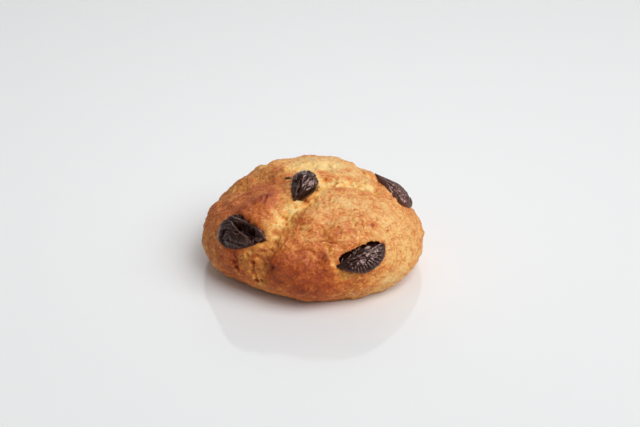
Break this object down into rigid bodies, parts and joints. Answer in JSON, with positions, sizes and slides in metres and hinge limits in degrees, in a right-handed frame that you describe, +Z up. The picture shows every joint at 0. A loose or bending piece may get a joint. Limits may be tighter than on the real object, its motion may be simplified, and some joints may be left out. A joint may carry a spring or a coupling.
{
  "type": "chocolate tea bun",
  "caption": "Round domed tea bun with a craggy golden crust, cracks of paler crumb and dark chocolate wafers half sunk in it, flat underneath.",
  "frame": {"origin": "on the surface that the bun stands on, under the middle of its box", "axes": "+Z up through the crown, +X to the right and -Y to the front as the picture shows the bun"},
  "size_m": [0.0836, 0.0818, 0.038],
  "materials": {
    "crust": "baked crust: dry and matt, golden brown on the lobes and pale yellow in the cracks",
    "chocolate": "baked dark chocolate: satin, wrinkled and slightly dusty"
  },
  "bodies": {
    "root": {"bun": "crust", "chocolate_left": "chocolate", "chocolate_crown": "chocolate", "chocolate_right": "chocolate", "chocolate_front": "chocolate", "chocolate_back_left": "chocolate", "chocolate_back_right": "chocolate"}
  },
  "joints": []
}
